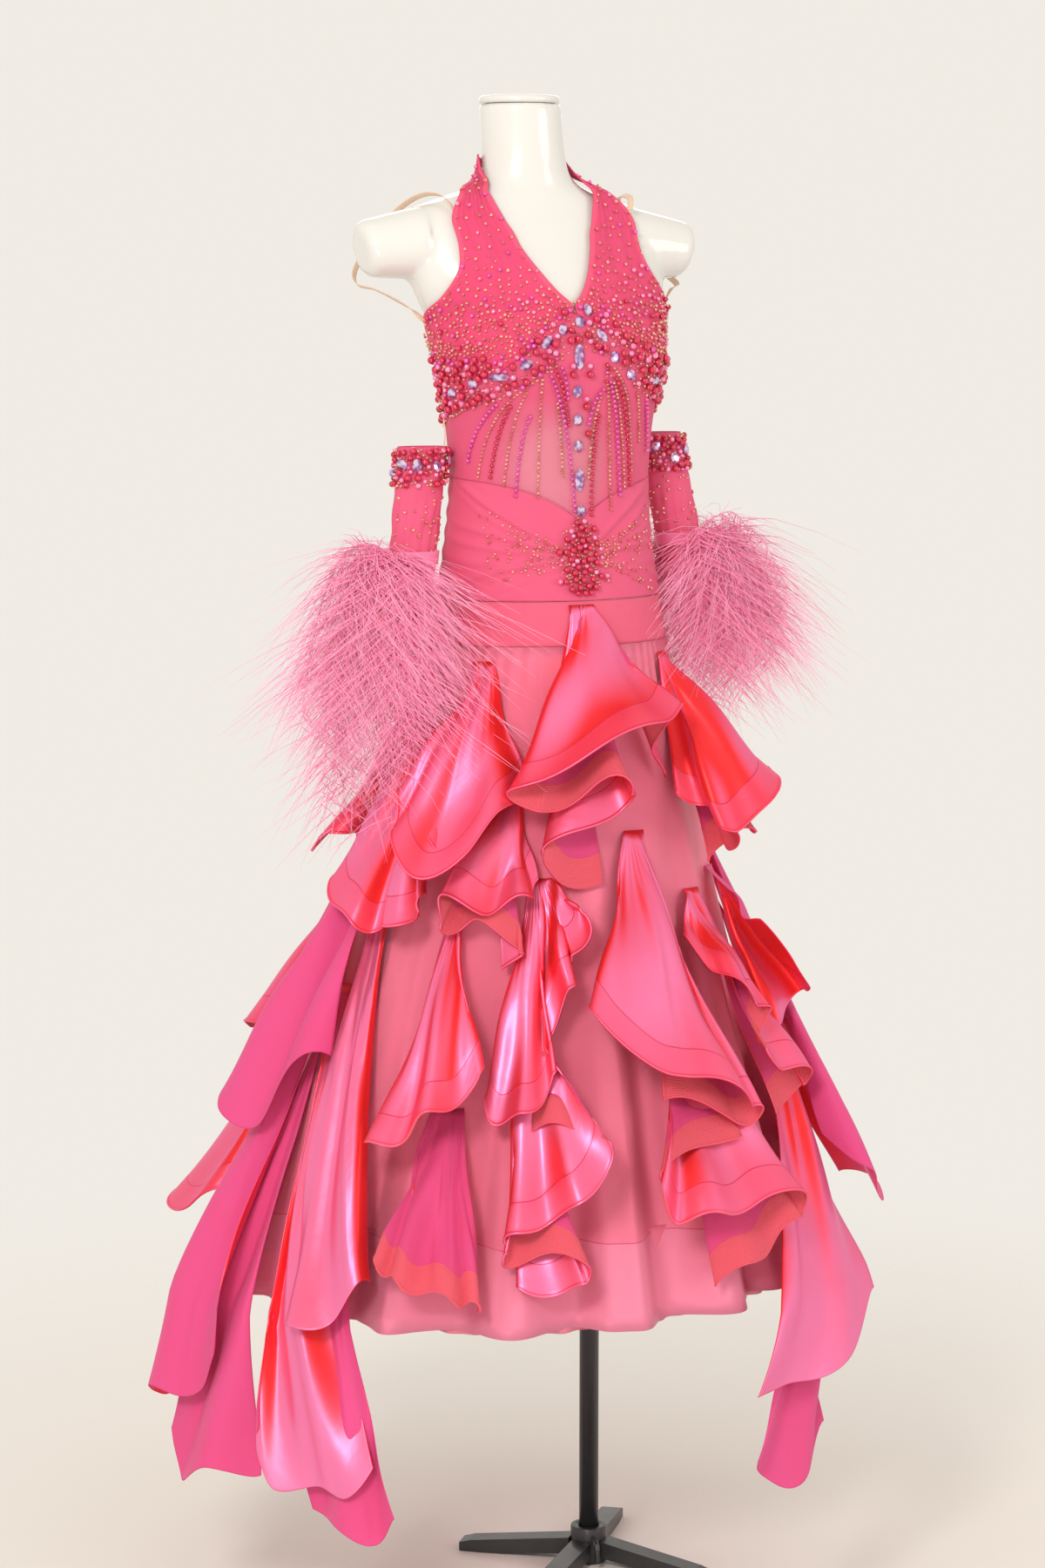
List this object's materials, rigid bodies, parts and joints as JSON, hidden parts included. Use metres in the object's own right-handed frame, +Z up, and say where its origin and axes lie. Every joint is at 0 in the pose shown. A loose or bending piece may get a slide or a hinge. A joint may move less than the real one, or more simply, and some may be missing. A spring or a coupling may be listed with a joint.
{
  "type": "ballroom dance gown on a limbless dress form and stand",
  "caption": "Halter ballroom gown with open back, draped waist, curled circular flounces and floats on a flared skirt, with feather armlets, standing on a limbless dress form and pole stand.",
  "frame": {"origin": "on the floor, at the axis of the pole, under the hub of the stand", "axes": "+Z up along the pole; the gown faces -Y; +X is the wearer's left"},
  "size_m": [0.8909, 0.8009, 1.8],
  "materials": {
    "form": "glossy off-white",
    "stand": "black satin paint",
    "mesh": "fine stretch mesh with stones",
    "crepe": "matt crepe",
    "sheer": "fine georgette with a soft sheen",
    "satin": "glossy satin face",
    "matte": "matt wrong side of the satin",
    "feather": "soft feather",
    "elastic": "nude elastic"
  },
  "bodies": {
    "root": {"form_torso": "form", "form_neck_cap": "form", "stand_pole": "stand", "stand_hub": "stand", "stand_leg_1": "stand", "stand_leg_2": "stand", "stand_leg_3": "stand", "stand_leg_4": "stand", "stand_clamp": "stand", "halter_front_right": "mesh", "halter_front_left": "mesh", "halter_neckband": "mesh", "bodice_midriff": "mesh", "waist_wrap": "mesh", "hip_yoke": "crepe", "underskirt": "sheer", "petticoat_frill": "sheer", "flounce_front_1": "satin", "flounce_front_2": "satin", "flounce_front_3": "satin", "flounce_right_1": "satin", "flounce_right_2": "satin", "flounce_right_3": "satin", "flounce_right_4": "satin", "flounce_hip_right": "satin", "flounce_left_1": "satin", "flounce_left_2": "satin", "flounce_left_3": "satin", "flounce_left_4": "satin", "float_right_1": "matte", "float_right_2": "matte", "float_right_3": "matte", "float_right_4": "matte", "float_right_5": "matte", "float_right_6": "matte", "float_left_1": "matte", "float_left_2": "matte", "float_left_3": "matte", "float_left_4": "matte", "flounce_back_1_1": "satin", "flounce_back_1_2": "satin", "flounce_back_1_3": "satin", "flounce_back_2_1": "satin", "flounce_back_2_2": "satin", "flounce_back_2_3": "satin", "flounce_back_3_1": "satin", "flounce_back_3_2": "satin", "flounce_back_3_3": "satin", "armlet_right": "mesh", "armlet_plume_right": "feather", "hanger_right": "elastic", "armlet_left": "mesh", "armlet_plume_left": "feather", "hanger_left": "elastic", "shoulder_loop_right": "elastic", "shoulder_loop_left": "elastic"}
  },
  "joints": []
}
